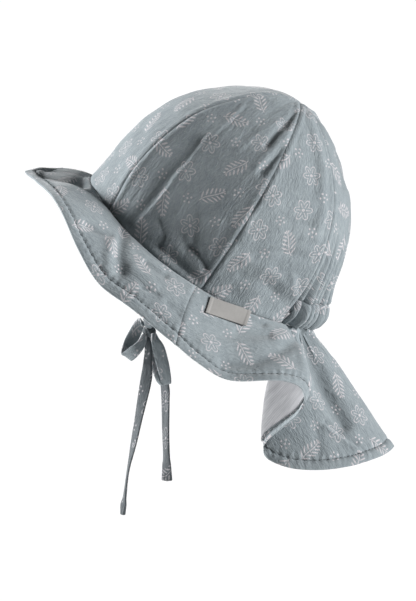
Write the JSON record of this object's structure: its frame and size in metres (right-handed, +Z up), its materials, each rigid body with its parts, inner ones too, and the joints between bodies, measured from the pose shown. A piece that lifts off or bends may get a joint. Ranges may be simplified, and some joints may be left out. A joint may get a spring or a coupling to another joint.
{
  "type": "child's sun hat with neck flap and tie-on chin straps",
  "caption": "Soft cotton sun hat: gored crown, wavy brim running into a long neck flap, gathered nape and cloth ties knotted in a bow.",
  "frame": {"origin": "middle of the oval head opening, where a head carries the hat", "axes": "+Z up as worn, -Y to the front, +X to the wearer's left"},
  "size_m": [0.2252, 0.2496, 0.2914],
  "materials": {
    "printed_muslin": "crinkled double muslin, grey blue with a pale printed pattern",
    "lining_jersey": "plain pale grey cotton jersey",
    "woven_label": "bare satin-woven tape, warm pale grey",
    "tie_muslin": "the same printed muslin folded into narrow sewn straps"
  },
  "bodies": {
    "root": {"crown_front": "printed_muslin", "crown_side_left": "printed_muslin", "crown_side_right": "printed_muslin", "crown_rear_left": "printed_muslin", "crown_rear_right": "printed_muslin", "crown_back": "printed_muslin", "nape_casing": "printed_muslin", "front_brim": "printed_muslin", "neck_flap": "printed_muslin", "flap_lining": "lining_jersey", "label": "woven_label", "chin_tie_left": "tie_muslin", "chin_tie_right": "tie_muslin", "bow_knot": "tie_muslin", "bow_loop_left": "tie_muslin", "bow_loop_right": "tie_muslin", "tie_tail_front": "tie_muslin", "tie_tail_back": "tie_muslin"}
  },
  "joints": []
}
